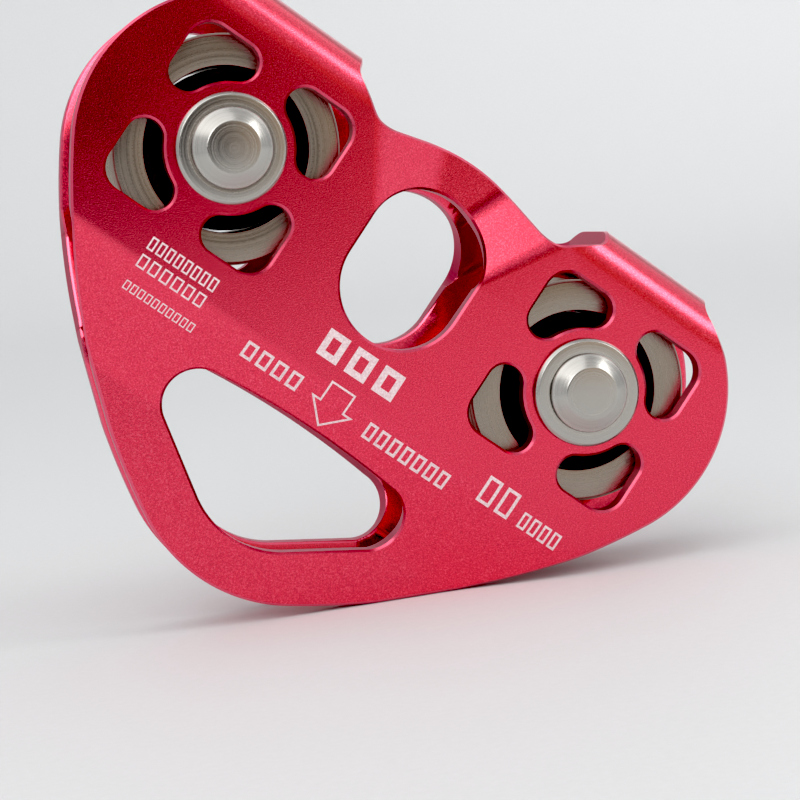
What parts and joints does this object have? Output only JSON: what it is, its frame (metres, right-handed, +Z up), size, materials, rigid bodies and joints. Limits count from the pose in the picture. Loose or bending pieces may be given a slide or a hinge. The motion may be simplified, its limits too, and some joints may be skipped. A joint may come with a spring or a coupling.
{
  "type": "tandem rope pulley",
  "caption": "Tandem rope pulley: two ball-bearing sheaves in line in a bent aluminium cheek frame with a connector hole and an upper slot.",
  "frame": {"origin": "centre of the overall box, on the plane of the flank land that the pulley stands on", "axes": "+Z up from the flank land, +Y along both axles from the front cheek to the rear cheek, +X to the right seen from the front; the line of the axles slopes down 41 degrees from sheave a (-X, high) to sheave b (+X, low)"},
  "size_m": [0.089, 0.027, 0.0864],
  "materials": {
    "anodised": "satin anodised, dyed red",
    "axle_steel": "turned, bright",
    "spacer_steel": "turned",
    "race_steel": "ground, bright",
    "stainless": "turned, fine circular lines",
    "cover_rubber": "matt moulded",
    "cage_polymer": "moulded polymer",
    "ball_steel": "polished"
  },
  "bodies": {
    "cheek_frame": {"frame": "anodised", "axle_a": "axle_steel", "axle_cap_a": "axle_steel", "washer_a_front": "axle_steel", "washer_a_rear": "axle_steel", "spacer_a_front": "spacer_steel", "spacer_a_rear": "spacer_steel", "inner_race_a": "race_steel", "axle_b": "axle_steel", "axle_cap_b": "axle_steel", "washer_b_front": "axle_steel", "washer_b_rear": "axle_steel", "spacer_b_front": "spacer_steel", "spacer_b_rear": "spacer_steel", "inner_race_b": "race_steel"},
    "sheave_a": {"sheave_a": "stainless", "outer_race_a": "race_steel", "cover_a_front": "cover_rubber", "cover_a_rear": "cover_rubber"},
    "ball_train_a": {"cage_a": "cage_polymer", "ball_a_1": "ball_steel", "ball_a_2": "ball_steel", "ball_a_3": "ball_steel", "ball_a_4": "ball_steel", "ball_a_5": "ball_steel", "ball_a_6": "ball_steel", "ball_a_7": "ball_steel"},
    "sheave_b": {"sheave_b": "stainless", "outer_race_b": "race_steel", "cover_b_front": "cover_rubber", "cover_b_rear": "cover_rubber"},
    "ball_train_b": {"cage_b": "cage_polymer", "ball_b_1": "ball_steel", "ball_b_2": "ball_steel", "ball_b_3": "ball_steel", "ball_b_4": "ball_steel", "ball_b_5": "ball_steel", "ball_b_6": "ball_steel", "ball_b_7": "ball_steel"}
  },
  "joints": [
    {"name": "sheave_a_spin", "type": "hinge", "parent": "cheek_frame", "child": "sheave_a", "pos_m": [-0.02194, 0, 0.06479], "axis": [0, 1, 0], "continuous": true},
    {"name": "ball_train_a_spin", "type": "hinge", "parent": "cheek_frame", "child": "ball_train_a", "pos_m": [-0.02194, 0, 0.06479], "axis": [0, 1, 0], "continuous": true},
    {"name": "sheave_b_spin", "type": "hinge", "parent": "cheek_frame", "child": "sheave_b", "pos_m": [0.02334, 0, 0.02543], "axis": [0, 1, 0], "continuous": true},
    {"name": "ball_train_b_spin", "type": "hinge", "parent": "cheek_frame", "child": "ball_train_b", "pos_m": [0.02334, 0, 0.02543], "axis": [0, 1, 0], "continuous": true}
  ],
  "couplings": [
    {"joint": "ball_train_a_spin", "follows": "sheave_a_spin", "ratio": 0.632},
    {"joint": "ball_train_b_spin", "follows": "sheave_b_spin", "ratio": 0.632}
  ]
}
